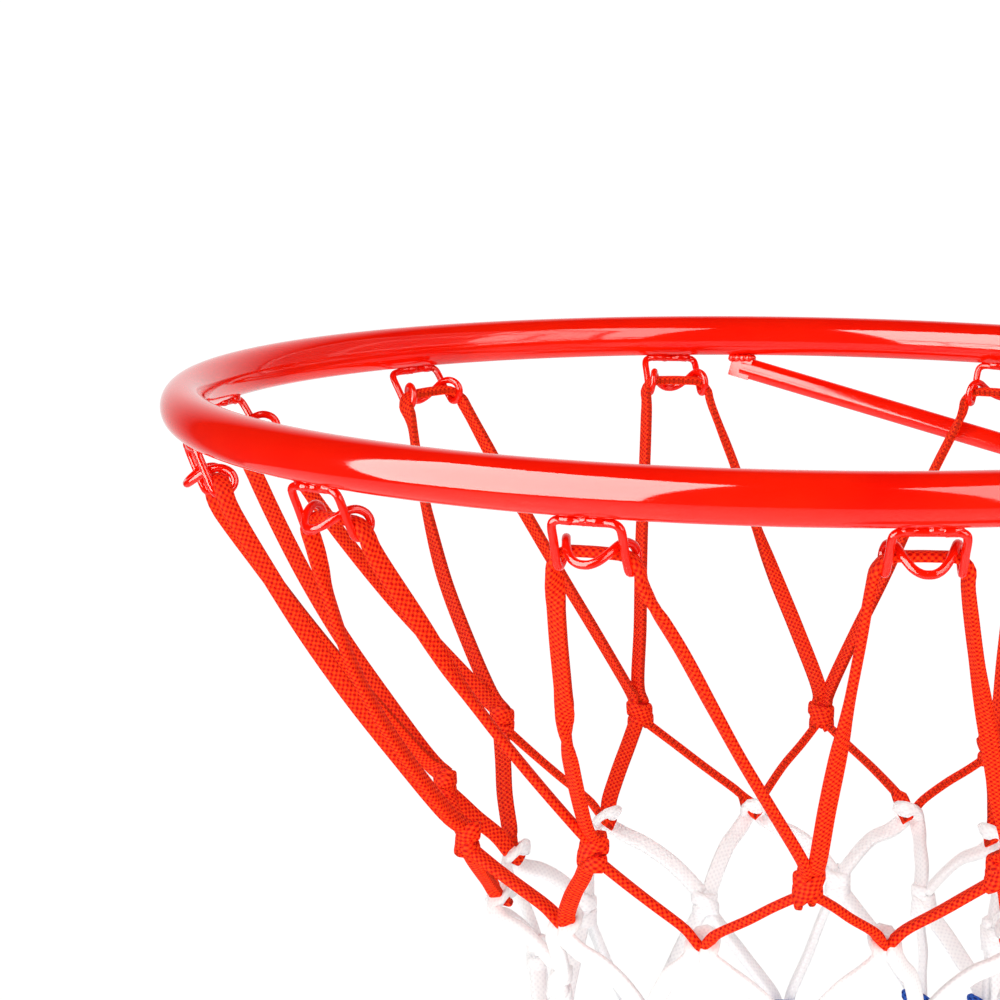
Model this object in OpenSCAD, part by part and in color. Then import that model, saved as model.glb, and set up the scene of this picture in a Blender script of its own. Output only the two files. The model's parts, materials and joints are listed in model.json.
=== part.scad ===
// Portable basketball hoop: filled base on wheels, telescopic post, clear board, braced ring and net.
// Millimetres, +Z up, the hoop faces -Y, and the origin is on the floor under the middle of the box.

/* [Hoop] */
// Height of the ring's top above the floor with the post fully lowered
rim_top = 2300; // [2200:10:2350]
// Inner diameter of the ring
ring_bore = 450; // [440:1:456]
// Diameter of the ring's round bar
ring_bar = 18; // [16:1:20]
// Diameter of the wire that the net hooks are bent from
hook_wire = 3; // [2.5:0.1:3.5]
// Diameter of each brace rod
brace_d = 9.5; // [8:0.5:12]

/* [Board] */
// Width of the clear panel
board_w = 1100; // [1000:10:1200]
// Height of the clear panel
board_h = 750; // [700:10:800]
// Thickness of the clear panel
panel_t = 4; // [3:0.5:5]
// Side of the square frame tube behind the panel
frame_tube = 21; // [20:1:24]
// Gap between the panel's face and the ring's inner edge
ring_gap = 151; // [150:1:160]

/* [Post] */
// Outer diameter of the fixed lower pole
lower_d = 60; // [60:1:62]
// Outer diameter of the sliding upper pole
upper_d = 50; // [48:1:50]
// Wall of both poles
pole_wall = 2.5; // [2:0.5:2.5]

/* [Base] */
// Width of the tank
base_w = 700; // [640:10:760]
// Height of the tank's deck
base_h = 150; // [140:5:160]
// Wall of the moulded tank
base_wall = 5; // [4:0.5:6]
// Diameter of the wheels over their tyres
wheel_d = 108; // [100:2:112]

/* [Net] */
// Diameter of the net's plain cord solids
cord_d = 5; // [4:0.5:6]

/* [Hidden] */
$fn = 48;
tiny = 0.01;

// Stations from front to back
board_y = -40;
ring_r = (ring_bore + ring_bar) / 2;
ring_y = board_y - ring_gap - ring_bore / 2;
ring_z = rim_top - ring_bar / 2;
frame_y = board_y + panel_t;
web_y = frame_y + frame_tube;
pole_y = 110;
base_front = -140;
base_rear = -(ring_y - ring_r - ring_bar / 2);
base_mid = (base_front + base_rear) / 2;
base_l = base_rear - base_front;

// Board
board_z0 = rim_top - 150;
board_z1 = board_z0 + board_h;
frame_inset = 4;
frame_x = board_w / 2 - frame_inset;
frame_z0 = board_z0 + frame_inset;
frame_z1 = board_z1 - frame_inset;
stile_x = 60;
rim_bolt_z = [rim_top - 82, rim_top - 15];
top_bolt_z = [board_z1 - 320, board_z1 - 260];
bolt_r = 5;
bolt_hole_r = 5.2;
web_t = 4;

// Post
pole_z0 = 24;
lower_z1 = 1700;
upper_z0 = 740;
upper_z1 = board_z1 - 200;
knob_z = lower_z1 - 28;
lower_r = lower_d / 2;
lower_bore_r = lower_r - pole_wall;
upper_r = upper_d / 2;
fit = 0.05;
cheek_x = upper_r + 0.4;
cheek_back = pole_y + 40;
pole_bolt_z = [rim_top - 90, rim_top - 40, board_z1 - 290];

// Base
flange_h = 40;
flange_step = 10;
wheel_x = 292;
wheel_r = wheel_d / 2;
wheel_w = 40;
axle_y = -118;
axle_z = wheel_r + 8;
axle_r = 6;
axle_end = 318;
notch_x = 268;
notch_y = -55;
chamfer_h = 70;
chamfer_l = 32;
neck_x = 190;
neck_y = 330;
deck_rib_x = [-250, -120, -60, 60, 120, 250];
deck_rib = [16, 300, 4];
foot_x = 270;
foot_y = 590;
foot_hole_dx = 28;
plate_t = 4;
clamp_z = 700;
clamp_bolt_y = pole_y + 62;
ear_x = 10;
socket_r = lower_r + 0.3;

// Ring fittings
plate_w = 150;
plate_z0 = rim_top - 142;
plate_z1 = rim_top + 8;
rim_plate_t = 5;
brace_angle = 8.2;
brace_plate = [65, board_y - rim_plate_t, ring_z - 107.5];
brace_drop = ring_bar / 2 + brace_d / 2 + 0.6;
brace_block = [8, 9.5];

// Hooks are welded by hand, so their spacing is only roughly even. Angles run from +X.
hook_angles = [36, 63, 90, 117, 142, 180, 212, 245, 276, 303, 330, 357];
// Half of one hook's wire: along the ring, inwards from the bar, and up
hook_half = [
  [0, 0, 0], [8, 0, 0], [11.3, 0.5, -1.4], [12, 4.6, -8.2], [12.2, 8.7, -14.8],
  [12.5, 12.4, -15.5], [12.6, 15, -13.2], [12.3, 15.9, -10.2], [11.6, 14.2, -7.4],
  [10.3, 10.8, -6.2], [9, 7.4, -7.1], [7.4, 4.3, -9.4], [4.4, 1.4, -12.4], [0, 0.3, -13.8]
];

// Net rows from the hooks down: radius and depth under the ring's centre plane
row_eye = [221, -25];
row_k1 = [137, -155];
row_v2 = [112, -187];
row_k3 = [97, -223];
row_v4 = [91, -268];
row_k5 = [88, -307];
row_v6 = [86, -350];
// Angles of the knots between hooks, and of the crossings under hooks
knot_angles = [49, 76, 103, 127, 159, 193, 225, 249, 287, 316, 350, 380];
cross_angles = [35, 63, 90, 115, 138, 172, 208, 241, 268, 301, 332, 366];

// ---- helpers ----

function hook_path() = concat(hook_half, [for (i = [12:-1:1]) [-hook_half[i][0], hook_half[i][1], hook_half[i][2]]]);
function unit(v) = v / norm(v);
function tangent(p, i) = unit(p[(i + 1) % len(p)] - p[(i + len(p) - 1) % len(p)]);
function across(v, t) = unit(v - (v * t) * t);
function carried(p, i, v) = i == len(p) ? [] : concat([across(v, tangent(p, i))],
  carried(p, i + 1, across(v, tangent(p, i))));

// A closed loop of wire through the points of p
module wire_loop(p, r, sides) {
  side = carried(p, 0, [0, 0, 1]);
  n = len(p);
  points = [for (i = [0:n - 1]) for (k = [0:sides - 1])
    let (t = tangent(p, i), b = cross(t, side[i]), a = 360 * k / sides)
    p[i] + r * (cos(a) * side[i] + sin(a) * b)];
  faces = [for (i = [0:n - 1]) for (k = [0:sides - 1])
    let (j = (i + 1) % n, m = (k + 1) % sides)
    each [[i * sides + k, j * sides + m, i * sides + m], [i * sides + k, j * sides + k, j * sides + m]]];
  polyhedron(points, faces);
}

// Places its children at p with +Z pointing to q
module aim(p, q) {
  v = q - p;
  translate(p) rotate([0, acos(v[2] / norm(v)), atan2(v[1], v[0])]) children();
}

module rod(p, q, r, sides = 48) {
  aim(p, q) cylinder(h = norm(q - p), r = r, $fn = sides);
}

module rounded_rect(w, l, r) {
  square([w - 2 * r, l], center = true);
  square([w, l - 2 * r], center = true);
  for (x = [-1, 1], y = [-1, 1]) translate([x * (w / 2 - r), y * (l / 2 - r)]) circle(r);
}

// An upright plate in the XZ plane from y to y + t
module wall_plate(w, z0, z1, r, y, t) {
  translate([0, y + t, (z0 + z1) / 2]) rotate([90, 0, 0]) linear_extrude(t) rounded_rect(w, z1 - z0, r);
}

module tube(r_out, r_in, z0, z1) {
  translate([0, 0, z0]) difference() {
    cylinder(h = z1 - z0, r = r_out);
    translate([0, 0, -1]) cylinder(h = z1 - z0 + 2, r = r_in);
  }
}

module along_x(x0, x1, y, z, r, sides = 48) {
  translate([x0, y, z]) rotate([0, 90, 0]) cylinder(h = x1 - x0, r = r, $fn = sides);
}

module along_y(x, y0, y1, z, r, sides = 48) {
  translate([x, y0, z]) rotate([-90, 0, 0]) cylinder(h = y1 - y0, r = r, $fn = sides);
}

function polar(row, a) = [row[0] * cos(a), ring_y + row[0] * sin(a), ring_z + row[1]];

// ---- base ----

module tank_outline(shrink) {
  linear_extrude(flange_h - shrink) rounded_rect(base_w - 2 * shrink, base_l - 2 * shrink, 60 - shrink);
  linear_extrude(base_h - 2 * shrink)
    rounded_rect(base_w - 2 * (flange_step + shrink), base_l - 2 * (flange_step + shrink), 50 - shrink);
}

// Wheel corners, the sloping front toe and the axle's slot, grown by g
module tank_cuts(g) {
  for (s = [-1, 1]) translate([s * (notch_x - g + 100), base_front - 100, base_h / 2])
    translate([0, (notch_y - base_front + g + 100) / 2, 0])
      cube([200, notch_y - base_front + g + 100, base_h + 2], center = true);
  translate([-base_w, base_front, 0]) rotate([90, 0, 90])
    linear_extrude(2 * base_w) polygon([[-50, -50], [chamfer_l + g + 23, -50], [chamfer_l + g, 0],
      [0, chamfer_h + g * 1.5], [-50, chamfer_h + g * 1.5]]);
  translate([-base_w, axle_y - axle_r - 0.4 - g, -1])
    cube([2 * base_w, 2 * (axle_r + 0.4 + g), axle_z + axle_r + 1.4 + g]);
}

module base_tank() color([0.09, 0.09, 0.1]) {
  difference() {
    union() {
      difference() {
        translate([0, base_mid, 0]) tank_outline(0);
        tank_cuts(0);
        difference() {
          translate([0, base_mid, base_wall]) tank_outline(base_wall);
          tank_cuts(base_wall);
          translate([0, pole_y, 0]) cylinder(h = base_h, r = lower_r + 7);
          for (s = [-1, 1], dx = [-1, 1])
            translate([s * foot_x + dx * foot_hole_dx, foot_y, 0]) cylinder(h = base_h, r = 13);
        }
      }
      translate([0, pole_y, base_h - 1]) cylinder(h = 36, r = lower_r + 12);
      translate([neck_x, neck_y, base_h - 1]) cylinder(h = 19, r = 26);
      for (x = deck_rib_x) translate([x, neck_y + 50, base_h - 1])
        linear_extrude(deck_rib[2] + 1) rounded_rect(deck_rib[0], deck_rib[1], deck_rib[0] / 2 - 0.1);
    }
    translate([0, pole_y, 20]) cylinder(h = 200, r = socket_r);
    translate([neck_x, neck_y, base_h - 2 * base_wall]) cylinder(h = 60, r = 20);
    along_x(-60, 60, pole_y, base_h + 18, bolt_hole_r);
    for (s = [-1, 1], dx = [-1, 1])
      translate([s * foot_x + dx * foot_hole_dx, foot_y, base_h - 34]) cylinder(h = 60, r = 4.1);
  }
}

module fill_cap() color([0.75, 0.08, 0.05]) translate([neck_x, neck_y, base_h + 0.6]) difference() {
  union() {
    cylinder(h = 22, r = 31);
    for (a = [0:30:330]) rotate([0, 0, a]) translate([30.5, 0, 0]) cylinder(h = 20, r = 3);
    translate([-24, -4, 21]) cube([48, 8, 8]);
  }
  translate([0, 0, -1]) cylinder(h = 19.4, r = 26.5);
}

module wheel_axle() color([0.7, 0.7, 0.72]) along_x(-axle_end, axle_end, axle_y, axle_z, axle_r);

module axle_clips() color([0.2, 0.2, 0.22]) for (x = [-220, -75, 75, 220]) difference() {
  translate([x - 15, axle_y - axle_r - 0.3, axle_z - 16]) cube([30, 2 * axle_r + 0.6, 16]);
  along_x(x - 20, x + 20, axle_y, axle_z, axle_r + 0.02);
}

module axle_caps() color([0.8, 0.8, 0.8]) for (s = [-1, 1]) difference() {
  along_x(s > 0 ? 312.6 : -324, s > 0 ? 324 : -312.6, axle_y, axle_z, 11);
  along_x(-axle_end - 0.1, axle_end + 0.1, axle_y, axle_z, axle_r + 0.02);
}

module wheel_hub(s) color([0.12, 0.12, 0.13])
  translate([s * wheel_x, axle_y, axle_z]) rotate([0, 90, 0]) difference() {
    union() {
      rotate_extrude() polygon([[8, -20], [15, -20], [15, -8], [31, -8], [31, -17], [40, -17],
        [40, 17], [31, 17], [31, 8], [15, 8], [15, 20], [8, 20]]);
      tube(9, axle_r + fit + 0.01, -20, 20);
    }
    for (a = [0:60:300]) rotate([0, 0, a]) translate([23, 0, -30]) cylinder(h = 60, r = 5.5);
  }

module wheel_tyre(s) color([0.16, 0.16, 0.16])
  translate([s * wheel_x, axle_y, axle_z]) rotate([0, 90, 0]) rotate_extrude()
    difference() {
      translate([40.05, -18]) square([wheel_r - 40.05, 36]);
      for (k = [-1, 1]) translate([wheel_r, k * 18]) rotate(45) square(7, center = true);
      for (k = [-1, 1]) translate([wheel_r - 2, k * 6 - 1.5]) square([4, 3]);
    }

module wheel_hub_left() wheel_hub(-1);
module wheel_hub_right() wheel_hub(1);
module tyre_left() wheel_tyre(-1);
module tyre_right() wheel_tyre(1);

// ---- fixed post ----

module pole_foot() color([0.1, 0.1, 0.1]) translate([0, pole_y, 20.1]) {
  cylinder(h = pole_z0 - 20.2, r = lower_r);
  cylinder(h = 24, r = lower_bore_r - 0.1);
}

module pole_lower() color([0.1, 0.1, 0.11]) difference() {
  translate([0, pole_y, 0]) tube(lower_r, lower_bore_r, pole_z0, lower_z1);
  along_x(-60, 60, pole_y, base_h + 18, bolt_hole_r);
  along_y(0, pole_y, pole_y + 60, knob_z, 6);
}

module base_bolt() color([0.7, 0.7, 0.72]) {
  along_x(-50, 58, pole_y, base_h + 18, bolt_r);
  along_x(-49, -42.1, pole_y, base_h + 18, 9.2, 6);
}

module base_bolt_nut() color([0.7, 0.7, 0.72]) difference() {
  along_x(42.1, 50.1, pole_y, base_h + 18, 9.2, 6);
  along_x(40, 60, pole_y, base_h + 18, bolt_r + 0.02);
}

module strut_clamp() color([0.1, 0.1, 0.11]) difference() {
  union() {
    translate([0, pole_y, 0]) tube(lower_r + 5, lower_r + 0.1, clamp_z - 22, clamp_z + 22);
    for (s = [-1, 1]) translate([s > 0 ? ear_x - 5 : -ear_x, pole_y + 31.5, clamp_z - 22]) cube([5, 50, 44]);
  }
  translate([-5, pole_y + 10, clamp_z - 30]) cube([10, 90, 60]);
  along_x(-30, 30, clamp_bolt_y, clamp_z, bolt_hole_r);
}

module strut(s) color([0.1, 0.1, 0.11]) {
  top = [s * 22, pole_y + 80, clamp_z - 45];
  foot = [s * foot_x, foot_y, base_h];
  end = foot + 0.05 * (foot - top);
  difference() {
    rod(top, end, 11);
    rod(top + 0.02 * (end - top), end + 0.1 * (end - top), 9.5);
    translate([s * foot_x - 100, foot_y - 100, base_h - 200 + 1]) cube([200, 200, 200]);
  }
  difference() {
    translate([s > 0 ? ear_x + 0.1 : -ear_x - 4.1, 0, 0]) rotate([90, 0, 90])
      linear_extrude(4) polygon([[pole_y + 46, clamp_z + 14], [pole_y + 76, clamp_z + 14],
        [pole_y + 98, clamp_z - 60], [pole_y + 70, clamp_z - 60]]);
    along_x(-30, 30, clamp_bolt_y, clamp_z, bolt_hole_r);
  }
  difference() {
    translate([s * foot_x, foot_y, base_h]) linear_extrude(plate_t) rounded_rect(84, 52, 10);
    for (dx = [-1, 1])
      translate([s * foot_x + dx * foot_hole_dx, foot_y, base_h - 1]) cylinder(h = 10, r = 4.3);
  }
}

module strut_left() strut(-1);
module strut_right() strut(1);

module strut_bolt() color([0.7, 0.7, 0.72]) {
  along_x(-20, 26, clamp_bolt_y, clamp_z, bolt_r);
  along_x(-20.5, -ear_x - 4.2, clamp_bolt_y, clamp_z, 9.2, 6);
}

module strut_bolt_nut() color([0.7, 0.7, 0.72]) difference() {
  along_x(ear_x + 4.2, ear_x + 12.2, clamp_bolt_y, clamp_z, 9.2, 6);
  along_x(0, 40, clamp_bolt_y, clamp_z, bolt_r + 0.02);
}

module strut_screws() color([0.7, 0.7, 0.72])
  for (s = [-1, 1], dx = [-1, 1]) translate([s * foot_x + dx * foot_hole_dx, foot_y, 0]) {
    translate([0, 0, base_h - 30]) cylinder(h = 30 + plate_t + 3, r = 4);
    translate([0, 0, base_h + plate_t + 0.05]) cylinder(h = 5.5, r = 7.5, $fn = 6);
  }

module pole_bush() color([0.85, 0.85, 0.82]) difference() {
  translate([0, pole_y, 0]) tube(lower_bore_r - 0.02, upper_r + fit, lower_z1 - 100, lower_z1);
  along_y(0, pole_y, pole_y + 60, knob_z, 6);
}

module pole_collar() color([0.08, 0.08, 0.09]) difference() {
  union() {
    translate([0, pole_y, 0]) tube(lower_r + 7, lower_r + 0.1, lower_z1 - 75, lower_z1 + tiny);
    translate([0, pole_y, 0]) tube(lower_r + 7, upper_r + 0.5, lower_z1, lower_z1 + 12);
    difference() {
      along_y(0, pole_y + 20, pole_y + 50, knob_z, 15);
      translate([0, pole_y, knob_z - 40]) cylinder(h = 80, r = lower_r + 3);
    }
  }
  along_y(0, pole_y, pole_y + 80, knob_z, bolt_r + fit);
}

module height_knob() color([0.75, 0.08, 0.05]) {
  along_y(0, pole_y + upper_r + 0.4, pole_y + 60, knob_z, bolt_r);
  along_y(0, pole_y + 51, pole_y + 58, knob_z, 12);
  along_y(0, pole_y + 57, pole_y + 75, knob_z, 20);
  for (a = [0:60:300])
    along_y(19 * cos(a), pole_y + 57, pole_y + 75, knob_z + 19 * sin(a), 7);
}

// ---- sliding post ----

module pole_upper() color([0.1, 0.1, 0.11]) difference() {
  translate([0, pole_y, 0]) tube(upper_r, upper_r - pole_wall, upper_z0, upper_z1);
  for (z = pole_bolt_z) along_x(-60, 60, pole_y, z, bolt_hole_r);
}

module pole_slider() color([0.85, 0.85, 0.82]) translate([0, pole_y, 0]) {
  tube(lower_bore_r - fit, upper_r + 0.02, upper_z0 - 10, upper_z0 + 40);
  tube(upper_r + 1, upper_r - 6, upper_z0 - 10, upper_z0);
}

module pole_cap() color([0.08, 0.08, 0.09]) translate([0, pole_y, 0]) {
  translate([0, 0, upper_z1]) cylinder(h = 4, r = upper_r);
  translate([0, 0, upper_z1 - 20]) cylinder(h = 21, r = upper_r - pole_wall - 0.1);
}

// ---- board ----

// Channel bracket: a web across the two stiles and a cheek on each side of the pole
module bracket(z0, z1, web_z0, web_z1, web_bolt_z, cheek_bolt_z) color([0.1, 0.1, 0.11]) difference() {
  union() {
    wall_plate(160, web_z0, web_z1, 8, web_y, web_t);
    for (s = [-1, 1]) translate([s > 0 ? cheek_x : -cheek_x - web_t, web_y + 1, z0])
      cube([web_t, cheek_back - web_y - 1, z1 - z0]);
  }
  for (z = web_bolt_z, s = [-1, 1]) along_y(s * stile_x, web_y - 10, web_y + 20, z, bolt_hole_r);
  for (z = cheek_bolt_z) along_x(-60, 60, pole_y, z, bolt_hole_r);
}

module bracket_top() bracket(board_z1 - 325, board_z1 - 255, board_z1 - 340, board_z1 - 240,
  top_bolt_z, [pole_bolt_z[2]]);
module bracket_bottom() bracket(rim_top - 120, rim_top - 10, rim_top - 139, rim_top + 5,
  rim_bolt_z, [pole_bolt_z[0], pole_bolt_z[1]]);

module pole_bolts() color([0.7, 0.7, 0.72]) for (z = pole_bolt_z) {
  along_x(-36, 44, pole_y, z, bolt_r);
  along_x(-36.5, -cheek_x - web_t - 0.1, pole_y, z, 9.2, 6);
}

module pole_bolt_nuts() color([0.7, 0.7, 0.72]) for (z = pole_bolt_z) difference() {
  along_x(cheek_x + web_t + 0.1, cheek_x + web_t + 8, pole_y, z, 9.2, 6);
  along_x(0, 60, pole_y, z, bolt_r + 0.02);
}

module square_tube_x(z) difference() {
  translate([-frame_x, frame_y, z]) cube([2 * frame_x, frame_tube, frame_tube]);
  translate([-frame_x - 1, frame_y + 1.5, z + 1.5]) cube([2 * frame_x + 2, frame_tube - 3, frame_tube - 3]);
}

module square_tube_z(x) difference() {
  translate([x - frame_tube / 2, frame_y, frame_z0 + frame_tube])
    cube([frame_tube, frame_tube, frame_z1 - frame_z0 - 2 * frame_tube]);
  translate([x - frame_tube / 2 + 1.5, frame_y + 1.5, board_z0])
    cube([frame_tube - 3, frame_tube - 3, board_h]);
}

// Screw places round the panel's edge
side_x = frame_x - frame_tube / 2;
screw_places = concat(
  [for (x = [-0.72, -0.24, 0.24, 0.72], z = [frame_z0 + frame_tube / 2, frame_z1 - frame_tube / 2])
    [x * side_x, z]],
  [for (s = [-1, 1], z = [board_z0 + 230, board_z1 - 230]) [s * side_x, z]]);

module screw_holes() for (p = screw_places) along_y(p[0], board_y - 5, frame_y + 5, p[1], 3.2);

module rim_bolt_holes(y0, y1) for (z = rim_bolt_z, s = [-1, 1])
  along_y(s * stile_x, y0, y1, z, bolt_hole_r);

module top_bolt_holes(y0, y1) for (z = top_bolt_z, s = [-1, 1])
  along_y(s * stile_x, y0, y1, z, bolt_hole_r);

module frame_rail_top() color([0.1, 0.1, 0.11]) difference() {
  square_tube_x(frame_z1 - frame_tube);
  screw_holes();
}
module frame_rail_bottom() color([0.1, 0.1, 0.11]) difference() {
  square_tube_x(frame_z0);
  screw_holes();
}
module frame_side_left() color([0.1, 0.1, 0.11]) difference() {
  square_tube_z(-side_x);
  screw_holes();
}
module frame_side_right() color([0.1, 0.1, 0.11]) difference() {
  square_tube_z(side_x);
  screw_holes();
}
module frame_stile(s) color([0.1, 0.1, 0.11]) difference() {
  square_tube_z(s * stile_x);
  rim_bolt_holes(frame_y - 1, web_y + 1);
  top_bolt_holes(frame_y - 1, web_y + 1);
}
module frame_stile_left() frame_stile(-1);
module frame_stile_right() frame_stile(1);

module board_panel() color([0.75, 0.85, 0.9, 0.35]) difference() {
  wall_plate(board_w, board_z0, board_z1, 12, board_y, panel_t);
  screw_holes();
  rim_bolt_holes(board_y - 1, frame_y + 1);
  top_bolt_holes(board_y - 1, frame_y + 1);
}

// Printed border and target as a film on the panel's face
module target_lines() color("white") {
  film = 0.3;
  difference() {
    wall_plate(board_w - 60, board_z0 + 30, board_z1 - 30, 4, board_y - film, film);
    wall_plate(board_w - 120, board_z0 + 60, board_z1 - 60, 4, board_y - 2, 4);
    wall_plate(plate_w + 10, board_z0 - 10, plate_z1 + 5, 4, board_y - 2, 4);
  }
  difference() {
    wall_plate(500, rim_top + 30, rim_top + 390, 4, board_y - film, film);
    wall_plate(420, rim_top + 70, rim_top + 350, 4, board_y - 2, 4);
  }
}

// Rubber channel round the panel's edge, outside the frame
module board_edge() color([0.06, 0.06, 0.07]) difference() {
  wall_plate(board_w + 6, board_z0 - 3, board_z1 + 3, 15, board_y - 2, panel_t + 4);
  wall_plate(board_w + 0.2, board_z0 - 0.1, board_z1 + 0.1, 12, board_y - 0.1, panel_t + 0.2);
  wall_plate(board_w - 6, board_z0 + 3, board_z1 - 3, 9, board_y - 5, 6);
  wall_plate(2 * frame_x + 0.6, frame_z0 - 0.3, frame_z1 + 0.3, 1, frame_y - 1, 10);
}

module panel_screws() color([0.1, 0.1, 0.1]) for (p = screw_places) {
  along_y(p[0], board_y - 2, frame_y + 12, p[1], 3);
  along_y(p[0], board_y - 3.5, board_y - 0.05, p[1], 6);
}

module board_bolts() color([0.1, 0.1, 0.1]) for (z = top_bolt_z, s = [-1, 1]) {
  along_y(s * stile_x, board_y - 3, web_y + web_t + 13, z, bolt_r);
  along_y(s * stile_x, board_y - 5.5, board_y - 0.1, z, 10);
}

module board_bolt_nuts() color([0.7, 0.7, 0.72]) for (z = top_bolt_z, s = [-1, 1]) difference() {
  along_y(s * stile_x, web_y + web_t + 0.1, web_y + web_t + 8, z, 9.2, 6);
  along_y(s * stile_x, web_y, web_y + 40, z, bolt_r + 0.02);
}

// ---- ring ----

module rim_plate() color([0.93, 0.09, 0.05]) difference() {
  wall_plate(plate_w, plate_z0, plate_z1, 10, board_y - rim_plate_t, rim_plate_t);
  rim_bolt_holes(board_y - 20, board_y + 1);
}

module rim_neck() color([0.93, 0.09, 0.05]) difference() {
  union() {
    translate([-40, ring_y, ring_z - 2.5]) cube([80, -ring_y + board_y - rim_plate_t, 5]);
    for (s = [-1, 1]) translate([s > 0 ? 36 : -40, 0, 0]) rotate([90, 0, 90]) linear_extrude(4)
      polygon([[board_y - rim_plate_t, ring_z + 2.5], [ring_y, ring_z + 2.5],
        [ring_y, ring_z - 2.5], [-180, ring_z - 7], [board_y - rim_plate_t, ring_z - 75]]);
  }
  translate([0, ring_y, ring_z - 100]) cylinder(h = 200, r = ring_r + ring_bar / 2 - 0.05);
}

module rim_ring() color([0.93, 0.09, 0.05])
  translate([0, ring_y, ring_z]) rotate_extrude($fn = 96) translate([ring_r, 0]) circle(ring_bar / 2);

// Rod from a square block under the ring down to the plate
module brace(s) color([0.93, 0.09, 0.05]) {
  under = [s * ring_r * cos(brace_angle), ring_y + ring_r * sin(brace_angle), ring_z - brace_drop];
  plate_end = [s * brace_plate[0], brace_plate[1], brace_plate[2]];
  difference() {
    union() {
      rod(under, plate_end + 0.05 * (plate_end - under), brace_d / 2);
      aim(under, plate_end) cube([brace_d, brace_block[0], brace_block[1]], center = true);
    }
    translate([-100, board_y - rim_plate_t, plate_z0]) cube([200, 50, 200]);
    translate([-ring_r - 50, ring_y, ring_z - ring_bar / 2]) cube([2 * ring_r + 100, 100, 50]);
  }
}

module brace_left() brace(-1);
module brace_right() brace(1);

module net_hooks() color([0.93, 0.09, 0.05])
  for (a = hook_angles) translate([0, ring_y, ring_z]) rotate([0, 0, a])
    wire_loop([for (p = hook_path()) [ring_r - p[1], p[0], p[2] - ring_bar / 2 - hook_wire / 2 + 0.1]],
      hook_wire / 2, 6);

module rim_bolts() color([0.7, 0.7, 0.72]) for (z = rim_bolt_z, s = [-1, 1]) {
  along_y(s * stile_x, board_y - rim_plate_t - 3, web_y + web_t + 15, z, bolt_r);
  along_y(s * stile_x, board_y - rim_plate_t - 6.5, board_y - rim_plate_t - 0.1, z, 9.2, 6);
}

module rim_bolt_washers() color([0.7, 0.7, 0.72]) for (z = rim_bolt_z, s = [-1, 1]) difference() {
  along_y(s * stile_x, web_y + web_t + 0.05, web_y + web_t + 2, z, 10.5);
  along_y(s * stile_x, web_y, web_y + 40, z, bolt_r + 0.2);
}

module rim_bolt_nuts() color([0.7, 0.7, 0.72]) for (z = rim_bolt_z, s = [-1, 1]) difference() {
  along_y(s * stile_x, web_y + web_t + 2.1, web_y + web_t + 10, z, 9.2, 6);
  along_y(s * stile_x, web_y, web_y + 40, z, bolt_r + 0.02);
}

// ---- net ----

function wrapped(list, i) = list[i % 12] + 360 * floor(i / 12);
function lower_knot(i) = (wrapped(cross_angles, i) + wrapped(cross_angles, i + 1)) / 2;
function lower_cross(i) = (lower_knot(i) + lower_knot(i + 11) - 360) / 2;

module strand(p, q) rod(p, q, cord_d / 2, 6);

module knot(p, r, h) translate(p - [0, 0, h / 2]) cylinder(h = h, r = r, $fn = 8);

// The two strands that leave knot i of one row for crossings i and i + 1 of the next
module forked(knot_row, knot_at, cross_row, left_at, right_at) {
  strand(polar(knot_row, knot_at), polar(cross_row, left_at));
  strand(polar(knot_row, knot_at), polar(cross_row, right_at));
}

module net_red() color([0.93, 0.13, 0.06]) for (i = [0:11]) {
  eye = 3.2;
  strand(polar(row_k1, knot_angles[i]), polar(row_eye, wrapped(hook_angles, i) + eye));
  strand(polar(row_k1, knot_angles[i]), polar(row_eye, wrapped(hook_angles, i + 1) - eye));
  forked(row_k1, knot_angles[i], row_v2, wrapped(cross_angles, i), wrapped(cross_angles, i + 1));
  knot(polar(row_k1, knot_angles[i]), 6.5, 12);
  knot(polar(row_v2, cross_angles[i]), 4.5, 9);
}

module net_white() color([0.95, 0.95, 0.95]) for (i = [0:11]) {
  forked(row_k3, lower_knot(i), row_v2 - [0, 9], wrapped(cross_angles, i), wrapped(cross_angles, i + 1));
  forked(row_k3, lower_knot(i), row_v4, lower_cross(i), lower_cross(i + 1));
  knot(polar(row_v2 - [0, 9], cross_angles[i]), 4.5, 8);
  knot(polar(row_k3, lower_knot(i)), 6.5, 12);
  knot(polar(row_v4, lower_cross(i)), 4.5, 9);
}

module net_blue() color([0.12, 0.28, 0.7]) for (i = [0:11]) {
  forked(row_k5, lower_knot(i), row_v4 - [0, 9], lower_cross(i), lower_cross(i + 1));
  forked(row_k5, lower_knot(i), row_v6, lower_cross(i), lower_cross(i + 1));
  knot(polar(row_v4 - [0, 9], lower_cross(i)), 4.5, 8);
  knot(polar(row_k5, lower_knot(i)), 6.5, 12);
  knot(polar(row_v6, lower_cross(i)), 6.5, 12);
}

base_tank();
fill_cap();
wheel_axle();
axle_clips();
axle_caps();
wheel_hub_left();
wheel_hub_right();
tyre_left();
tyre_right();
pole_foot();
pole_lower();
base_bolt();
base_bolt_nut();
strut_clamp();
strut_left();
strut_right();
strut_bolt();
strut_bolt_nut();
strut_screws();
pole_bush();
pole_collar();
height_knob();
pole_upper();
pole_slider();
pole_cap();
bracket_top();
bracket_bottom();
pole_bolts();
pole_bolt_nuts();
frame_rail_top();
frame_rail_bottom();
frame_side_left();
frame_side_right();
frame_stile_left();
frame_stile_right();
board_panel();
target_lines();
board_edge();
panel_screws();
board_bolts();
board_bolt_nuts();
rim_plate();
rim_neck();
rim_ring();
brace_left();
brace_right();
net_hooks();
rim_bolts();
rim_bolt_washers();
rim_bolt_nuts();
net_red();
net_white();
net_blue();
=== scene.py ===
import json
import math
import random

import bpy
from mathutils import Matrix, Quaternion, Vector, noise


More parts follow.
